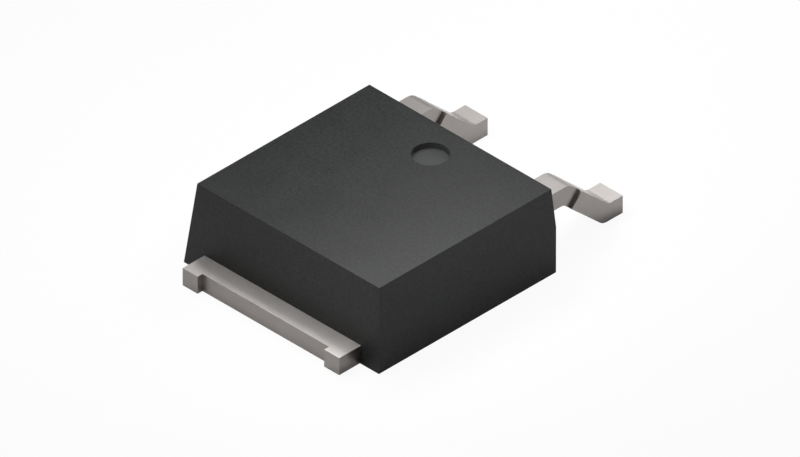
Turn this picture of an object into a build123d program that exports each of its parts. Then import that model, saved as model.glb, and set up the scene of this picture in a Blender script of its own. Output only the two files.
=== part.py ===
from build123d import *
import os
from math import atan2, cos, degrees, radians, sin, tan

# Surface-mount power diode, millimetres. +X runs across its width, +Y from the tab to the leads, +Z up.
# The origin lies at the middle of its footprint, on the plane that it is soldered to.

# Lead frame: one copper sheet makes the header and both outer leads
sheet = 0.50
lead_width = 0.762
lead_pitch = 2.286
lead_height = 1.215

# Gull wings, along the middle of the sheet
shoulder_reach = 0.868
foot_reach = 0.577
wing_slope = 42.5

# Radii of its two bends, on the inside and on the outside of each
shoulder_bend_inside = 0.25
shoulder_bend_outside = 0.45
foot_bend_inside = 0.25
foot_bend_outside = 0.35

# What the cut tie bar leaves on each edge of a gull wing
tie_bar_proud = 0.09
tie_bar_length = 0.30
tie_bar_start = 0.35

# Moulded body
body_length = 5.996
flank_cover = 0.633
cover_over_leads = 0.585
mould_standoff = 0.01
flank_draft = 5.55
tab_end_draft = 5.8
lead_end_lower_draft = 5.75
lead_end_upper_draft = 3.1

# Round ejector dimple in the top
dimple_radius = 0.475
dimple_depth = 0.16
dimple_from_edge = 1.01

# Tab with two ears, and the die pad behind it
tab_inset = 0.65
ear_reach = 0.692
ear_width = 0.51
notch_depth = 0.163
lock_width = 0.235
lock_height = 0.20
lock_from_edge = 0.30
pad_from_lead_end = 1.37

# Centre lead, bent up from the pad and cut short outside the body
joggle_lead_in = 0.26
joggle_lead_out = 0.52
joggle_bend = 0.20
stub_reach = 0.45

# Bond posts that the outer leads end in, wider than the lead by the overhang on the outside
post_width = 1.30
post_length = 0.90
post_cover = 0.28
post_overhang = 0.14

# Chip and its solder
die_side = 2.40
die_thickness = 0.28
die_from_pad_end = 1.90
solder_thickness = 0.05
solder_margin = 0.08

# Bond wires
wire_radius = 0.15
wire_bend = 0.45
wire_cover = 0.22
bond_length = 0.56
bond_width = 0.38
bond_thickness = 0.18
bond_spread = 0.62
bond_from_die_edge = 0.55
loop_peak_from_post = 0.76

# Places along Y, from the ears to the feet
lead_end_lean = (lead_height - mould_standoff) * tan(radians(lead_end_lower_draft))
wing_run = lead_height / tan(radians(wing_slope))
wing_reach = lead_end_lean + shoulder_reach + wing_run + foot_reach
overall_length = ear_reach + body_length + wing_reach
ear_y = -overall_length / 2
body_tab_y = ear_y + ear_reach
body_lead_y = body_tab_y + body_length
parting_y = body_lead_y + lead_end_lean
shoulder_y = parting_y + shoulder_reach
heel_y = shoulder_y + wing_run
toe_y = heel_y + foot_reach
pad_end_y = body_lead_y - pad_from_lead_end
lock_start_y = body_tab_y + lock_from_edge
die_y = pad_end_y - die_from_pad_end

# Widths, and heights above the solder plane
body_width = 2 * (lead_pitch + lead_width / 2 + flank_cover)
tab_width = body_width - 2 * tab_inset
pad_width = tab_width - 2 * lock_width
lead_top = lead_height + sheet
body_top = lead_top + cover_over_leads
die_base = sheet + solder_thickness
die_top = die_base + die_thickness
mould_height = body_top - mould_standoff


with BuildPart() as cathode_header:
    # Tab between its ears, running on as the pad that stays bare underneath
    with BuildSketch():
        with Locations((0, ear_y)):
            Rectangle(tab_width, lock_start_y - ear_y, align=(Align.CENTER, Align.MIN))
            Rectangle(pad_width, pad_end_y - ear_y, align=(Align.CENTER, Align.MIN))
            Rectangle(
                tab_width - 2 * ear_width,
                notch_depth,
                align=(Align.CENTER, Align.MIN),
                mode=Mode.SUBTRACT,
            )
    extrude(amount=sheet)
    # Coined ledge round the pad, which the moulding grips from below
    with BuildSketch(Plane.XY.offset(lock_height)):
        with Locations((0, lock_start_y)):
            Rectangle(
                tab_width,
                pad_end_y + lock_width - lock_start_y,
                align=(Align.CENTER, Align.MIN),
            )
    extrude(amount=sheet - lock_height)
    # Centre lead: up from the pad to the height of the outer leads, then out and cut off
    with BuildSketch(Plane.YZ):
        with BuildLine():
            FilletPolyline(
                (pad_end_y - sheet, sheet / 2),
                (pad_end_y + joggle_lead_in, sheet / 2),
                (parting_y - joggle_lead_out, lead_height + sheet / 2),
                (parting_y + stub_reach, lead_height + sheet / 2),
                radius=joggle_bend + sheet / 2,
            )
        trace(line_width=sheet)
    extrude(amount=lead_width / 2, both=True)
cathode_header.part.label = "cathode_header"


def anode_lead(lead_x):
    """Gull-wing lead centred at lead_x, with its bond post inside the body."""
    with BuildPart() as lead:
        # Bent strip, from the bond post out over the shoulder and down to the foot
        post_end_y = body_lead_y - post_cover
        mitre = sheet / 2 * tan(radians(wing_slope / 2))
        with BuildSketch(Plane.YZ.offset(lead_x)):
            with BuildLine():
                underside = FilletPolyline(
                    (post_end_y, lead_height),
                    (shoulder_y - mitre, lead_height),
                    (heel_y - mitre, 0),
                    (toe_y, 0),
                    radius=[shoulder_bend_inside, foot_bend_outside],
                )
                top = FilletPolyline(
                    (post_end_y, lead_top),
                    (shoulder_y + mitre, lead_top),
                    (heel_y + mitre, sheet),
                    (toe_y, sheet),
                    radius=[shoulder_bend_outside, foot_bend_inside],
                )
                Line(underside @ 0, top @ 0)
                Line(underside @ 1, top @ 1)
            make_face()
        extrude(amount=lead_width / 2, both=True)
        # Remains of the tie bar on both edges of the slope
        slope = radians(wing_slope)
        tie_bar_middle = tie_bar_start + tie_bar_length / 2
        with BuildSketch(Plane.YZ.offset(lead_x)):
            with Locations(
                Location(
                    (
                        shoulder_y + tie_bar_middle * cos(slope),
                        lead_height + sheet / 2 - tie_bar_middle * sin(slope),
                        0,
                    ),
                    (0, 0, -wing_slope),
                )
            ):
                Rectangle(tie_bar_length, sheet)
        extrude(amount=lead_width / 2 + tie_bar_proud, both=True)
        # Bond post, reaching from just outside the lead in towards the chip
        inward = -1 if lead_x > 0 else 1
        post_x = lead_x + inward * ((post_width - lead_width) / 2 - post_overhang)
        with BuildSketch(Plane.XY.offset(lead_height)):
            with Locations((post_x, post_end_y)):
                Rectangle(post_width, post_length, align=(Align.CENTER, Align.MAX))
        extrude(amount=sheet)
    return lead.part


left_anode_lead = anode_lead(-lead_pitch)
left_anode_lead.label = "left_anode_lead"
right_anode_lead = anode_lead(lead_pitch)
right_anode_lead.label = "right_anode_lead"


with BuildPart() as die_solder:
    with BuildSketch(Plane.XY.offset(sheet)):
        with Locations((0, die_y)):
            Rectangle(die_side + 2 * solder_margin, die_side + 2 * solder_margin)
    extrude(amount=solder_thickness)
die_solder.part.label = "die_solder"

with BuildPart() as schottky_die:
    with BuildSketch(Plane.XY.offset(die_base)):
        with Locations((0, die_y)):
            Rectangle(die_side, die_side)
    extrude(amount=die_thickness)
schottky_die.part.label = "schottky_die"


def bond_wire(side, lead):
    """Wire from the chip to the bond post of the given lead, on side -1 or 1."""
    die_bond = Vector(side * bond_spread, die_y + die_side / 2 - bond_from_die_edge)
    post_bond = Vector(side * lead_pitch, body_lead_y - post_cover - post_length / 2)
    span = post_bond - die_bond
    heading = span.normalized()
    turn = degrees(atan2(span.Y, span.X))
    bond_rise = bond_thickness - wire_radius
    loop_top = body_top - wire_cover - wire_radius
    with BuildPart() as wire:
        # Loop: off the chip, up over the edge of the post and down onto it
        with BuildLine(Plane(origin=die_bond, x_dir=heading, z_dir=(heading.Y, -heading.X, 0))) as route:
            FilletPolyline(
                (0, die_top + bond_rise),
                (bond_length / 2, die_top + bond_rise),
                (span.length - loop_peak_from_post, loop_top),
                (span.length - bond_length / 2, lead_top + bond_rise),
                (span.length, lead_top + bond_rise),
                radius=wire_bend,
            )
        with BuildSketch(Plane(origin=route.line @ 0, z_dir=route.line % 0)):
            Circle(wire_radius)
        sweep()
        # Ends that the bonding tool squeezed wide and flat
        for bond, base in ((die_bond, die_top), (post_bond, lead_top)):
            with BuildSketch(Plane.XY.offset(base)):
                with Locations(Location((bond.X, bond.Y, 0), (0, 0, turn))):
                    SlotOverall(bond_length, bond_width)
            extrude(amount=bond_thickness)
        # Undersides that lie flat on the chip and the post
        add(schottky_die.part, mode=Mode.SUBTRACT)
        add(lead, mode=Mode.SUBTRACT)
    return wire.part


left_bond_wire = bond_wire(-1, left_anode_lead)
left_bond_wire.label = "left_bond_wire"
right_bond_wire = bond_wire(1, right_anode_lead)
right_bond_wire.label = "right_bond_wire"


with BuildPart() as moulded_body:
    # Section along Y: one draft at the tab end, a knee at the parting line at the lead end
    tab_end_lean = mould_height * tan(radians(tab_end_draft))
    lead_end_top_y = parting_y - (body_top - lead_height) * tan(radians(lead_end_upper_draft))
    with BuildSketch(Plane.YZ):
        with BuildLine():
            Polyline(
                (body_tab_y, mould_standoff),
                (body_lead_y, mould_standoff),
                (parting_y, lead_height),
                (lead_end_top_y, body_top),
                (body_tab_y + tab_end_lean, body_top),
                close=True,
            )
        make_face()
    extrude(amount=body_width / 2, both=True)
    # Drafted flanks
    flank_lean = mould_height * tan(radians(flank_draft))
    with BuildSketch(Plane.XZ):
        with BuildLine():
            Polyline(
                (-body_width / 2, mould_standoff),
                (body_width / 2, mould_standoff),
                (body_width / 2 - flank_lean, body_top),
                (-body_width / 2 + flank_lean, body_top),
                close=True,
            )
        make_face()
    extrude(amount=overall_length, both=True, mode=Mode.INTERSECT)
    # Ejector dimple
    with BuildSketch(Plane.XY.offset(body_top)):
        with Locations((0, lead_end_top_y - dimple_from_edge)):
            Circle(dimple_radius)
    extrude(amount=-dimple_depth, mode=Mode.SUBTRACT)
    # The moulding closes round everything that it holds
    for held in (
        cathode_header.part,
        left_anode_lead,
        right_anode_lead,
        die_solder.part,
        schottky_die.part,
        left_bond_wire,
        right_bond_wire,
    ):
        add(held, mode=Mode.SUBTRACT)
moulded_body.part.label = "moulded_body"

os.makedirs("parts", exist_ok=True)
export_step(moulded_body.part, "parts/moulded_body.step")
export_step(cathode_header.part, "parts/cathode_header.step")
export_step(left_anode_lead, "parts/left_anode_lead.step")
export_step(right_anode_lead, "parts/right_anode_lead.step")
export_step(schottky_die.part, "parts/schottky_die.step")
export_step(die_solder.part, "parts/die_solder.step")
export_step(left_bond_wire, "parts/left_bond_wire.step")
export_step(right_bond_wire, "parts/right_bond_wire.step")
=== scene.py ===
"""Looks of a surface-mount Schottky diode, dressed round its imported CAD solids.

Lengths are metres, in the frame of the CAD: +X across the package, +Y from the tab to the leads, +Z up, and
the origin on the solder plane under the middle. Patterns, fields whose name ends in mm, and the lamps are in
millimetres, because that is how they are known.
"""

import logging
import math
from dataclasses import dataclass
from enum import Enum
from typing import Any, Mapping, Sequence

import bpy
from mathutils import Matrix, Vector


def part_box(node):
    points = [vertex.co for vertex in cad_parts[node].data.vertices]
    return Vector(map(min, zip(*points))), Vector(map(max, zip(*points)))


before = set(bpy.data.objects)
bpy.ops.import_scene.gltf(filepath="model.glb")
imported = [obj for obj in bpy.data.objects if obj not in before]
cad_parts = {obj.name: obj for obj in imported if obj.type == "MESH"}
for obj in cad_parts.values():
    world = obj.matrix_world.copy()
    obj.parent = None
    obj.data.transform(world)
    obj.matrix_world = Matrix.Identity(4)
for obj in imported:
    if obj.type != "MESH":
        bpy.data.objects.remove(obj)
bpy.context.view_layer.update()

LOG = logging.getLogger("diode")
MM = 0.001
Colour = tuple[float, float, float]
Triple = tuple[float, float, float]
Owner = bpy.types.Material | bpy.types.World
WHITE: Colour = (1.0, 1.0, 1.0)

# The Mix node has sockets for every type of data, and these are the ones for colours
MIX_FIRST, MIX_SECOND, MIX_RESULT = 6, 7, 2


class Node(str, Enum):
    """Solids of the CAD that this scene dresses."""

    BODY = "moulded_body"
    HEADER = "cathode_header"
    LEFT_LEAD = "left_anode_lead"
    RIGHT_LEAD = "right_anode_lead"
    DIE = "schottky_die"
    SOLDER = "die_solder"
    LEFT_WIRE = "left_bond_wire"
    RIGHT_WIRE = "right_bond_wire"


class Axis(Enum):
    """Components of a vector, named as the Separate XYZ node names its outputs."""

    X = "X"
    Y = "Y"
    Z = "Z"


@dataclass(frozen=True)
class Signal:
    """Output socket of a shader node; arithmetic on it adds Math nodes.

    Args:
        recipe: The recipe whose node tree holds the socket.
        socket: The socket itself.
    """

    recipe: "Recipe"
    socket: bpy.types.NodeSocket

    def _math(self, operation: str, *terms: "Term") -> "Signal":
        """Adds one Math node.

        Args:
            operation: Name of the operation.
            terms: Its values or links, in order.

        Returns:
            The result.
        """
        return self.recipe.node("ShaderNodeMath", {"operation": operation}, dict(enumerate(terms)))

    def __add__(self, other: "Term") -> "Signal":
        """Sum with a value or another signal."""
        return self._math("ADD", self, other)

    def __radd__(self, other: float) -> "Signal":
        """Sum with a value on the left."""
        return self._math("ADD", other, self)

    def __sub__(self, other: "Term") -> "Signal":
        """Difference from a value or another signal."""
        return self._math("SUBTRACT", self, other)

    def __rsub__(self, other: float) -> "Signal":
        """Difference with a value on the left."""
        return self._math("SUBTRACT", other, self)

    def __mul__(self, other: "Term") -> "Signal":
        """Product with a value or another signal."""
        return self._math("MULTIPLY", self, other)

    def __rmul__(self, other: float) -> "Signal":
        """Product with a value on the left."""
        return self._math("MULTIPLY", other, self)

    def __abs__(self) -> "Signal":
        """Distance from zero."""
        return self._math("ABSOLUTE", self)

    def __pow__(self, exponent: float) -> "Signal":
        """Power with a plain exponent."""
        return self._math("POWER", self, exponent)

    def above(self, edge: float, softness: float) -> "Signal":
        """Mask of where the signal exceeds an edge.

        Args:
            edge: Value at which the mask is one half.
            softness: Width over which it goes from 0 to 1.

        Returns:
            The mask, 0 to 1.
        """
        return self.recipe.node(
            "ShaderNodeMapRange",
            {"interpolation_type": "SMOOTHSTEP"},
            {"Value": self, "From Min": edge - softness / 2, "From Max": edge + softness / 2},
        )

    def below(self, edge: float, softness: float) -> "Signal":
        """Mask of where the signal is less than an edge; the arguments are those of above."""
        return 1 - self.above(edge, softness)

    def sway(self, amount: float, middle: float = 0.5) -> "Signal":
        """Swing of a noise about its middle, times an amount."""
        return (self - middle) * amount


Term = Signal | float


@dataclass(frozen=True)
class Pattern:
    """Smooth noise of a known scale.

    Args:
        per_mm: How many features there are to a millimetre.
        octaves: How many finer layers are added.
        fading: Strength of each next layer.
        stretch: Factor on each component of the place, for a pattern with a direction.
    """

    per_mm: float
    octaves: float = 2.0
    fading: float = 0.5
    stretch: Triple | None = None


class Recipe:
    """Node tree of a material or of the world, written as expressions.

    Args:
        owner: The new material or world.
    """

    def __init__(self, owner: Owner) -> None:
        """Empties the owner's node tree."""
        self.owner = owner
        owner.use_nodes = True
        self.tree = owner.node_tree
        self.tree.nodes.clear()

    @classmethod
    def for_material(cls, name: str) -> "Recipe":
        """Starts a recipe for a new material with the given name."""
        return cls(bpy.data.materials.new(name))

    @classmethod
    def for_world(cls, name: str) -> "Recipe":
        """Starts a recipe for a new world with the given name."""
        return cls(bpy.data.worlds.new(name))

    def node(
        self,
        kind: str,
        settings: Mapping[str, Any] | None = None,
        inputs: Mapping[str | int, Any] | None = None,
        output: str | int = 0,
    ) -> Signal:
        """Adds a node, sets it up and wires its inputs.

        Args:
            kind: Blender's name of the node type.
            settings: Attributes of the node, set before its inputs.
            inputs: Value or signal of each input socket, by name or number.
            output: Name or number of the output that is wanted.

        Returns:
            The wanted output.
        """
        new = self.tree.nodes.new(kind)
        for attribute, value in (settings or {}).items():
            setattr(new, attribute, value)
        for key, value in (inputs or {}).items():
            if isinstance(value, Signal):
                self.tree.links.new(value.socket, new.inputs[key])
            elif isinstance(value, tuple) and len(value) == 3 and new.inputs[key].type == "RGBA":
                new.inputs[key].default_value = (*value, 1.0)
            else:
                new.inputs[key].default_value = value
        return Signal(self, new.outputs[output])

    def place(self) -> Signal:
        """Place on the piece in millimetres, from its Object coordinates."""
        metres = self.node("ShaderNodeTexCoord", output="Object")
        return self.node("ShaderNodeVectorMath", {"operation": "SCALE"}, {0: metres, "Scale": 1 / MM})

    def part_of(self, vector: Signal, axis: Axis) -> Signal:
        """The component of a vector along an axis."""
        return self.node("ShaderNodeSeparateXYZ", None, {0: vector}, axis.value)

    def facing(self, axis: Axis) -> Signal:
        """Component of the surface's own normal along an axis of the piece."""
        return self.part_of(self.node("ShaderNodeTexCoord", output="Normal"), axis)

    def noise(self, place: Signal, pattern: Pattern) -> Signal:
        """Adds a noise.

        Args:
            place: Where to read it, in millimetres.
            pattern: Its scale and layers.

        Returns:
            The noise, about 0 to 1.
        """
        if pattern.stretch is not None:
            factors = {0: place, 1: pattern.stretch}
            place = self.node("ShaderNodeVectorMath", {"operation": "MULTIPLY"}, factors)
        layers = {"Scale": pattern.per_mm, "Detail": pattern.octaves, "Roughness": pattern.fading}
        return self.node("ShaderNodeTexNoise", {"noise_dimensions": "3D"}, {"Vector": place, **layers}, "Fac")

    def blend(self, first: Signal | Colour, second: Signal | Colour, amount: Signal) -> Signal:
        """Mixes two colours.

        Args:
            first: Colour where the amount is 0.
            second: Colour where the amount is 1.
            amount: Share of the second colour.

        Returns:
            The mixed colour.
        """
        return self.node(
            "ShaderNodeMix",
            {"data_type": "RGBA", "clamp_factor": True},
            {"Factor": amount, MIX_FIRST: first, MIX_SECOND: second},
            MIX_RESULT,
        )

    def either(self, first: Signal, second: Signal, share: Signal) -> Signal:
        """Mixes two shaders, with the share that the second has."""
        return self.node("ShaderNodeMixShader", None, {0: share, 1: first, 2: second})

    def surface(self, height: Signal, relief_mm: float, **inputs: Any) -> bpy.types.Material:
        """Finishes the material with one Principled shader and its bump.

        Args:
            height: Relief of the surface, 0 to 1.
            relief_mm: How deep that relief is.
            inputs: Sockets of the shader, with underscores for spaces.

        Returns:
            The material.
        """
        relief = {"Height": height, "Strength": 1.0, "Distance": relief_mm * MM}
        normal = self.node("ShaderNodeBump", None, relief, "Normal")
        sockets = {name.replace("_", " "): value for name, value in inputs.items()}
        return self.finished(self.node("ShaderNodeBsdfPrincipled", None, {**sockets, "Normal": normal}))

    def finished(self, shader: Signal) -> Owner:
        """Wires a shader to the output.

        Args:
            shader: What the surface or the world shows.

        Returns:
            The material or world.
        """
        is_world = isinstance(self.owner, bpy.types.World)
        end = self.tree.nodes.new("ShaderNodeOutputWorld" if is_world else "ShaderNodeOutputMaterial")
        self.tree.links.new(shader.socket, end.inputs["Surface"])
        return self.owner


@dataclass(frozen=True)
class Dimple:
    """Mark of the ejector pin in the top of the body.

    Args:
        centre: Its middle, level with the top, in metres.
        radius: Its radius, in metres.
        depth: Its depth, in metres.
    """

    centre: Vector
    radius: float
    depth: float


@dataclass(frozen=True)
class MouldCompound:
    """Black epoxy with silica filler, as it leaves a spark-eroded mould."""

    colour: Colour = (0.0094, 0.0101, 0.0098)
    filler_colour: Colour = (0.035, 0.037, 0.036)
    pin_colour: Colour = (0.044, 0.046, 0.045)
    cloud: Pattern = Pattern(0.9, 3.0)
    mottle: Pattern = Pattern(13.0, 2.0, 0.6)
    grain: Pattern = Pattern(34.0, 2.0, 0.6)
    specks: Pattern = Pattern(62.0, 1.0)
    pin_turning: Pattern = Pattern(26.0, 1.0)
    speck_edge: float = 0.66
    speck_blur: float = 0.12
    filler_share: float = 0.25
    filler_of_specks: float = 0.4
    filler_of_cloud: float = 0.25
    filler_of_mottle: float = 1.1
    roughness: float = 0.50
    pin_roughness: float = 0.42
    rough_cloud: float = 0.08
    rough_mottle: float = 0.12
    rough_grain: float = 0.12
    rough_turning: float = 0.1
    specular_level: float = 0.27
    rim_mm: float = 0.008
    relief_mm: float = 0.0012
    grain_lost_to_pin: float = 0.7
    turning_relief: float = 0.3

    def material(self, dimple: Dimple) -> bpy.types.Material:
        """Builds the material.

        Args:
            dimple: The pin's mark, which is paler and smoother than the rest.

        Returns:
            The material.
        """
        recipe = Recipe.for_material("mould_compound")
        place = recipe.place()
        cloud, mottle, grain = (recipe.noise(place, each) for each in (self.cloud, self.mottle, self.grain))
        specks = recipe.noise(place, self.specks).above(self.speck_edge, self.speck_blur)
        from_axis = self._from_axis(recipe, place, dimple)
        in_dimple = self._in_dimple(recipe, place, dimple, from_axis)
        turning = recipe.noise(recipe.node("ShaderNodeCombineXYZ", None, {"X": from_axis}), self.pin_turning)
        filler = self.filler_share + specks * self.filler_of_specks
        filler = filler + cloud.sway(self.filler_of_cloud) + mottle.sway(self.filler_of_mottle)
        shade = recipe.blend(self.colour, self.filler_colour, filler)
        shade = recipe.blend(shade, self.pin_colour, in_dimple)
        roughness = self.roughness + cloud.sway(self.rough_cloud) + mottle.sway(self.rough_mottle)
        roughness = roughness + grain.sway(self.rough_grain)
        smoother = self.pin_roughness - self.roughness + turning.sway(self.rough_turning)
        height = grain * (1 - in_dimple * self.grain_lost_to_pin)
        height = height + turning * in_dimple * self.turning_relief
        return recipe.surface(
            height,
            self.relief_mm,
            Base_Color=shade,
            Roughness=roughness + in_dimple * smoother,
            Specular_IOR_Level=self.specular_level,
        )

    def _from_axis(self, recipe: Recipe, place: Signal, dimple: Dimple) -> Signal:
        """Distance from the pin's axis, in millimetres.

        Args:
            recipe: The material's recipe.
            place: Place on the body, in millimetres.
            dimple: The pin's mark.

        Returns:
            The distance.
        """
        across = recipe.part_of(place, Axis.X) - dimple.centre.x / MM
        along = recipe.part_of(place, Axis.Y) - dimple.centre.y / MM
        return (across * across + along * along) ** 0.5

    def _in_dimple(self, recipe: Recipe, place: Signal, dimple: Dimple, from_axis: Signal) -> Signal:
        """Mask of the dimple's floor and wall.

        Args:
            recipe: The material's recipe.
            place: Place on the body, in millimetres.
            dimple: The pin's mark.
            from_axis: Distance from the pin's axis, in millimetres.

        Returns:
            The mask, 0 to 1.
        """
        rim, radius, depth = self.rim_mm, dimple.radius / MM, dimple.depth / MM
        down = dimple.centre.z / MM - recipe.part_of(place, Axis.Z)
        at_depth = down.above(rim, rim) * down.below(depth + rim, rim)
        return from_axis.below(radius + rim, rim) * at_depth


@dataclass(frozen=True)
class TinPlate:
    """Matte tin on stamped copper, with bare copper on cut ends. Steep faces are darker, partly as duller
    sheared edges and partly as painted shade. The upward faces of the lead shoulders and slopes near the body
    carry painted shade, and the tie-bar steps carry a painted dark reflection of the body.
    """

    face_colour: Colour = (0.76, 0.722, 0.697)
    # Colour of the steep faces: partly the duller sheared edge of the stamping, partly painted shade on the
    # side faces.
    sheared_edge_and_shade_colour: Colour = (0.287, 0.266, 0.255)
    cloud_colour: Colour = (0.52, 0.50, 0.48)
    # Painted shade on the upward faces of the lead shoulders and slopes, high up next to the body.
    shoulder_shade_colour: Colour = (0.535, 0.508, 0.492)
    # Painted dark reflection of the black body on the tie-bar steps.
    step_dark_reflection_colour: Colour = (0.26, 0.236, 0.216)
    copper_colour: Colour = (0.62, 0.36, 0.22)
    grazing_tint: Colour = (0.72, 0.71, 0.70)
    cloud: Pattern = Pattern(1.6, 3.0)
    grain: Pattern = Pattern(45.0, 2.0, 0.6)
    rolled: Pattern = Pattern(1.0, stretch=(14.0, 0.6, 1.0))
    sheared: Pattern = Pattern(1.0, stretch=(22.0, 22.0, 1.4))
    tin_patches: Pattern = Pattern(5.0, 3.0)
    tin_specks: Pattern = Pattern(24.0)
    cloud_share: float = 0.35
    cloud_middle: float = 0.45
    rolled_share: float = 0.12
    facing_blur: float = 0.1
    edge_steepness: float = 0.93
    end_facing: float = 0.9
    cut_skin_mm: float = 0.02
    cut_blur_mm: float = 0.01
    speck_weight: float = 0.4
    bare_below: float = 0.78
    bare_blur: float = 0.16
    shoulder_shade_facing: float = 0.6
    shoulder_shade_facing_blur: float = 0.2
    shoulder_shade_above_mm: float = 1.1
    shoulder_shade_blur_mm: float = 0.6
    step_facing_back: float = -0.6
    step_facing_up: float = 0.5
    face_roughness: float = 0.43
    edge_roughness: float = 0.34
    rough_cloud: float = 0.08
    rough_rolled: float = 0.08
    rough_sheared: float = 0.14
    metallic: float = 1.0
    relief_mm: float = 0.0015
    grain_relief: float = 0.5
    rolled_relief: float = 0.25
    sheared_relief: float = 0.6

    def material(self, name: str, cut_plane: float) -> bpy.types.Material:
        """Builds the material.

        Args:
            name: Name of the material.
            cut_plane: Place along Y where the strip was cut off after plating, in metres.

        Returns:
            The material.
        """
        recipe = Recipe.for_material(name)
        place = recipe.place()
        patterns = (self.cloud, self.grain, self.rolled, self.sheared)
        cloud, grain, rolled, sheared = (recipe.noise(place, each) for each in patterns)
        is_edge = (1 - abs(recipe.facing(Axis.Z))).above(self.edge_steepness, self.facing_blur)
        clouded = cloud.sway(self.cloud_share, self.cloud_middle) + rolled.sway(self.rolled_share)
        # Steep faces take the darker colour: partly duller sheared edges, partly painted shade.
        shade = recipe.blend(self.face_colour, self.sheared_edge_and_shade_colour, is_edge)
        shade = recipe.blend(shade, self.cloud_colour, clouded)
        shade = recipe.blend(shade, self.copper_colour, self._bare(recipe, place, cut_plane))
        # Painted shade on the shoulders and slopes next to the body.
        shade = recipe.blend(shade, self.shoulder_shade_colour, self._shoulder_shade(recipe, place))
        # Painted dark reflection of the body on the tie-bar steps.
        shade = recipe.blend(shade, self.step_dark_reflection_colour, self._step_dark_reflection(recipe))
        roughness = self.face_roughness + is_edge * (self.edge_roughness - self.face_roughness)
        roughness = roughness + rolled.sway(self.rough_rolled) * (1 - is_edge)
        roughness = roughness + sheared.sway(self.rough_sheared) * is_edge + cloud.sway(self.rough_cloud)
        height = grain * self.grain_relief + rolled * (1 - is_edge) * self.rolled_relief
        height = height + sheared * is_edge * self.sheared_relief
        return recipe.surface(
            height,
            self.relief_mm,
            Base_Color=shade,
            Roughness=roughness,
            Metallic=self.metallic,
            Specular_Tint=self.grazing_tint,
        )

    def _bare(self, recipe: Recipe, place: Signal, cut_plane: float) -> Signal:
        """Mask of the copper that shows where the strip was cut off.

        Args:
            recipe: The material's recipe.
            place: Place on the piece, in millimetres.
            cut_plane: Place of the cut along Y, in metres.

        Returns:
            The mask, 0 to 1.
        """
        at_cut = recipe.part_of(place, Axis.Y).above(cut_plane / MM - self.cut_skin_mm, self.cut_blur_mm)
        cut_end = recipe.facing(Axis.Y).above(self.end_facing, self.facing_blur) * at_cut
        patches, specks = recipe.noise(place, self.tin_patches), recipe.noise(place, self.tin_specks)
        return cut_end * (patches + specks * self.speck_weight).below(self.bare_below, self.bare_blur)

    def _shoulder_shade(self, recipe: Recipe, place: Signal) -> Signal:
        """Mask of the painted shade on the upward faces of the lead shoulders and slopes, high up next to the
        body.

        Args:
            recipe: The material's recipe.
            place: Place on the piece, in millimetres.

        Returns:
            The mask, 0 to 1.
        """
        upward = recipe.facing(Axis.Z).above(self.shoulder_shade_facing, self.shoulder_shade_facing_blur)
        return upward * recipe.part_of(place, Axis.Z).above(self.shoulder_shade_above_mm, self.shoulder_shade_blur_mm)

    def _step_dark_reflection(self, recipe: Recipe) -> Signal:
        """Mask of the small steps that the cut tie bar left, which face up and back to the body; a painted
        dark reflection of the body goes there.
        """
        back = recipe.facing(Axis.Y).below(self.step_facing_back, self.facing_blur)
        return back * recipe.facing(Axis.Z).above(self.step_facing_up, self.facing_blur)


@dataclass(frozen=True)
class PlainMetal:
    """Dull metal with a slight cloud and grain, for what lies inside the moulding."""

    name: str
    colour: Colour
    dark_colour: Colour
    roughness: float
    cloud: Pattern = Pattern(3.0, 3.0)
    grain: Pattern = Pattern(40.0)
    dark_share: float = 1.2
    dark_middle: float = 0.35
    rough_cloud: float = 0.15
    rough_grain: float = 0.1
    metallic: float = 1.0
    relief_mm: float = 0.002

    def material(self) -> bpy.types.Material:
        """Builds the material.

        Returns:
            The material.
        """
        recipe = Recipe.for_material(self.name)
        place = recipe.place()
        cloud, grain = recipe.noise(place, self.cloud), recipe.noise(place, self.grain)
        darker = cloud.sway(self.dark_share, self.dark_middle)
        return recipe.surface(
            grain,
            self.relief_mm,
            Base_Color=recipe.blend(self.colour, self.dark_colour, darker),
            Roughness=self.roughness + cloud.sway(self.rough_cloud) + grain.sway(self.rough_grain),
            Metallic=self.metallic,
        )


@dataclass(frozen=True)
class Silicon:
    """Sawn silicon chip with its aluminium anode metal inside a dark guard ring."""

    saw_colour: Colour = (0.085, 0.088, 0.10)
    metal_colour: Colour = (0.83, 0.83, 0.82)
    ring_colour: Colour = (0.06, 0.10, 0.13)
    saw_marks: Pattern = Pattern(1.0, stretch=(1.0, 1.0, 60.0))
    grain: Pattern = Pattern(70.0)
    ring_mm: float = 0.11
    ring_blur_mm: float = 0.01
    top_facing: float = 0.5
    facing_blur: float = 0.1
    roughness: float = 0.28
    rough_grain: float = 0.1
    rough_saw: float = 0.2
    relief_mm: float = 0.0015

    def material(self, low: Vector, high: Vector) -> bpy.types.Material:
        """Builds the material.

        Args:
            low: Lowest corner of the chip, in metres.
            high: Its highest corner.

        Returns:
            The material.
        """
        recipe = Recipe.for_material("silicon")
        place = recipe.place()
        middle, half = (low + high) / 2 / MM, (high - low) / 2 / MM
        from_side = half.x - abs(recipe.part_of(place, Axis.X) - middle.x)
        from_end = half.y - abs(recipe.part_of(place, Axis.Y) - middle.y)
        ring, blur = self.ring_mm, self.ring_blur_mm
        inside = from_side.above(ring, blur) * from_end.above(ring, blur)
        top = recipe.facing(Axis.Z).above(self.top_facing, self.facing_blur)
        saw, grain = recipe.noise(place, self.saw_marks), recipe.noise(place, self.grain)
        face = recipe.blend(self.ring_colour, self.metal_colour, inside)
        return recipe.surface(
            saw * (1 - top) + grain * top,
            self.relief_mm,
            Base_Color=recipe.blend(self.saw_colour, face, top),
            Metallic=top * inside,
            Roughness=self.roughness + grain.sway(self.rough_grain) + saw.sway(self.rough_saw) * (1 - top),
        )


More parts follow.
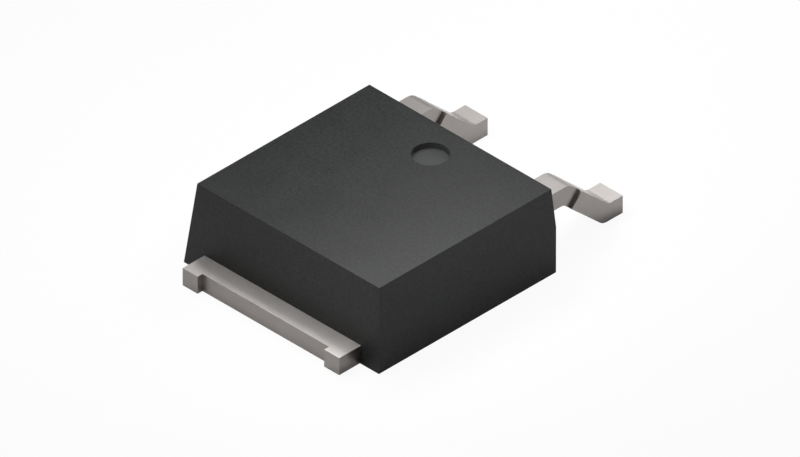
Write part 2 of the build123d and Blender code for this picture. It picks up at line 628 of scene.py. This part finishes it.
def paint(node: Node, material: bpy.types.Material) -> None:
    """Gives a CAD solid its material.

    Args:
        node: The solid.
        material: What it is dressed in.
    """
    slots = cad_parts[node.value].data.materials
    slots.clear()
    slots.append(material)
    LOG.info("%s wears %s", node.value, material.name)


@dataclass
class Moulding:
    """Black body with its ejector dimple."""

    finish: MouldCompound = MouldCompound()
    dimple_radius: float = 0.475 * MM
    dimple_depth: float = 0.16 * MM
    dimple_from_edge: float = 1.01 * MM
    lead_end_at_top: float = 1.9604 * MM

    def dress(self) -> None:
        """Dresses the body."""
        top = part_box(Node.BODY.value)[1].z
        centre = Vector((0.0, self.lead_end_at_top - self.dimple_from_edge, top))
        paint(Node.BODY, self.finish.material(Dimple(centre, self.dimple_radius, self.dimple_depth)))


@dataclass
class LeadFrame:
    """Header with its tab and centre lead, and the two gull-wing leads."""

    finish: TinPlate = TinPlate()

    def dress(self) -> None:
        """Dresses the three stampings."""
        for node in (Node.HEADER, Node.LEFT_LEAD, Node.RIGHT_LEAD):
            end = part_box(node.value)[1].y
            paint(node, self.finish.material(f"tinned_{node.value}", end))


@dataclass
class Chip:
    """Silicon chip with its solder and its two bond wires."""

    silicon: Silicon = Silicon()
    solder: PlainMetal = PlainMetal("die_attach_solder", (0.52, 0.51, 0.50), (0.36, 0.36, 0.37), 0.42)
    wire: PlainMetal = PlainMetal("bond_aluminium", (0.87, 0.87, 0.86), (0.72, 0.72, 0.72), 0.30)

    def dress(self) -> None:
        """Dresses what the body hides."""
        paint(Node.DIE, self.silicon.material(*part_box(Node.DIE.value)))
        paint(Node.SOLDER, self.solder.material())
        for node in (Node.LEFT_WIRE, Node.RIGHT_WIRE):
            paint(node, self.wire.material())


@dataclass(frozen=True)
class SoftBox:
    """Soft lamp that faces a point.

    Args:
        name: Name of the lamp.
        place: Where its middle hangs, in millimetres.
        aim: Point that it faces, in millimetres.
        width: Its short side, in millimetres.
        length: Its long side, which hangs level.
        level: Radiance, where 1 is a white card in full light.
    """

    name: str
    place: Triple
    aim: Triple
    width: float
    length: float
    level: float

    def hang(self) -> None:
        """Adds the lamp to the scene."""
        place, aim = Vector(self.place) * MM, Vector(self.aim) * MM
        bpy.ops.object.light_add(type="AREA", location=place)
        lamp = bpy.context.object
        lamp.name = self.name
        lamp.rotation_euler = (aim - place).to_track_quat("-Z", "Y").to_euler()
        lamp.data.shape = "RECTANGLE"
        lamp.data.size, lamp.data.size_y = self.length * MM, self.width * MM
        lamp.data.energy = self.level * math.pi * lamp.data.size * lamp.data.size_y
        lamp.visible_camera = False
        LOG.info("lamp %s hung", self.name)


@dataclass
class Studio:
    """White table, pale room, lamps and camera."""

    table_radius: float = 0.4
    table_corners: int = 96
    table_gap: float = 0.005 * MM
    table_colour: Colour = (0.94, 0.94, 0.94)
    table_glow: float = 0.93
    reflected_glow: float = 0.12
    floor_level: float = 0.95
    ceiling_level: float = 0.06
    horizon_height: float = 0.05
    horizon_blur: float = 0.30
    azimuth: float = 45.0
    elevation: float = 35.1
    view_width: float = 19.143 * MM
    aim: Triple = (-0.040 * MM, -0.0425 * MM, 0.595 * MM)
    distance: float = 0.12
    nearest: float = 0.001
    farthest: float = 1.0
    lamps: tuple[SoftBox, ...] = (
        SoftBox("left_overhead", (-11.3, 0.0, 22.2), (0.0, 0.0, 1.0), 13.0, 13.0, 1.4),
        SoftBox("left_front_overhead", (-8.0, -8.0, 22.2), (0.0, 0.0, 1.0), 13.0, 13.0, 4.2),
        SoftBox("key_behind_left", (-8.7, 2.0, 18.3), (0.0, -3.0, 1.0), 3.0, 3.0, 18.0),
        SoftBox("behind", (0.0, 18.9, 15.8), (0.0, 0.0, 1.0), 13.0, 13.0, 3.7),
        SoftBox("behind_feet", (-6.0, 10.5, 6.5), (0.0, 4.6, 0.5), 2.5, 8.0, 1.1),
        SoftBox("strip_over_body", (-0.5, 0.5, 8.3), (3.5, 0.5, 1.0), 2.4, 8.8, 6.4),
        SoftBox("strip_over_flank", (4.4, -1.0, 3.8), (1.5, -1.0, 2.2), 0.6, 6.0, 4.0),
        SoftBox("strip_over_tab", (2.0, -5.6, 4.4), (1.6, -4.0, 1.6), 0.6, 3.0, 8.0),
    )

    def table(self) -> None:
        """Adds the round white table that the diode stands on; from below it is clear."""
        bpy.ops.object.select_all(action="DESELECT")
        bpy.ops.mesh.primitive_circle_add(
            vertices=self.table_corners,
            radius=self.table_radius,
            fill_type="NGON",
            location=(0.0, 0.0, -self.table_gap),
        )
        top = bpy.context.object
        top.name = "table"
        recipe = Recipe.for_material("white_table")
        sheet = recipe.node("ShaderNodeBsdfDiffuse", None, {"Color": self.table_colour})
        glow = recipe.node("ShaderNodeEmission", None, {"Color": WHITE, "Strength": 1.0})
        from_above = recipe.either(sheet, glow, self._glow(recipe))
        clear = recipe.node("ShaderNodeBsdfTransparent")
        is_below = recipe.node("ShaderNodeNewGeometry", output="Backfacing")
        top.data.materials.append(recipe.finished(recipe.either(from_above, clear, is_below)))

    def _glow(self, recipe: Recipe) -> Signal:
        """Share of the table that is plain white: most for the camera, less in reflections, else none.

        Args:
            recipe: The table's recipe.

        Returns:
            The share, 0 to 1.
        """
        camera = recipe.node("ShaderNodeLightPath", output="Is Camera Ray")
        glossy = recipe.node("ShaderNodeLightPath", output="Is Glossy Ray")
        through = recipe.node("ShaderNodeLightPath", output="Is Transmission Ray")
        reflected = recipe.node("ShaderNodeClamp", None, {"Value": glossy + through})
        return camera * self.table_glow + reflected * self.reflected_glow

    def room(self) -> None:
        """Makes the room white below the height of the table and darker towards the ceiling."""
        recipe = Recipe.for_world("white_room")
        height = recipe.part_of(recipe.node("ShaderNodeTexCoord", output="Generated"), Axis.Z)
        up = height.above(self.horizon_height, self.horizon_blur)
        level = self.floor_level + up * (self.ceiling_level - self.floor_level)
        walls = recipe.node("ShaderNodeBackground", None, {"Color": WHITE, "Strength": level})
        bpy.context.scene.world = recipe.finished(walls)

    def camera(self) -> None:
        """Sets up the parallel camera of the photograph."""
        turn, rise = math.radians(self.azimuth), math.radians(self.elevation)
        back = Vector((math.sin(turn) * math.cos(rise), -math.cos(turn) * math.cos(rise), math.sin(rise)))
        bpy.ops.object.camera_add(location=Vector(self.aim) + back * self.distance)
        eye = bpy.context.object
        eye.rotation_euler = (-back).to_track_quat("-Z", "Y").to_euler()
        eye.data.type = "ORTHO"
        eye.data.ortho_scale = self.view_width
        eye.data.clip_start, eye.data.clip_end = self.nearest, self.farthest
        bpy.context.scene.camera = eye

    def set_up(self) -> None:
        """Builds the whole studio."""
        self.table()
        self.room()
        for lamp in self.lamps:
            lamp.hang()
        self.camera()
        bpy.context.scene.view_settings.view_transform = "Standard"


def main() -> None:
    """Dresses the diode piece by piece and sets up the studio round it."""
    logging.basicConfig(level=logging.INFO, format="%(message)s")
    for assembly in (Moulding(), LeadFrame(), Chip()):
        assembly.dress()
    Studio().set_up()


if __name__ == "__main__":
    main()
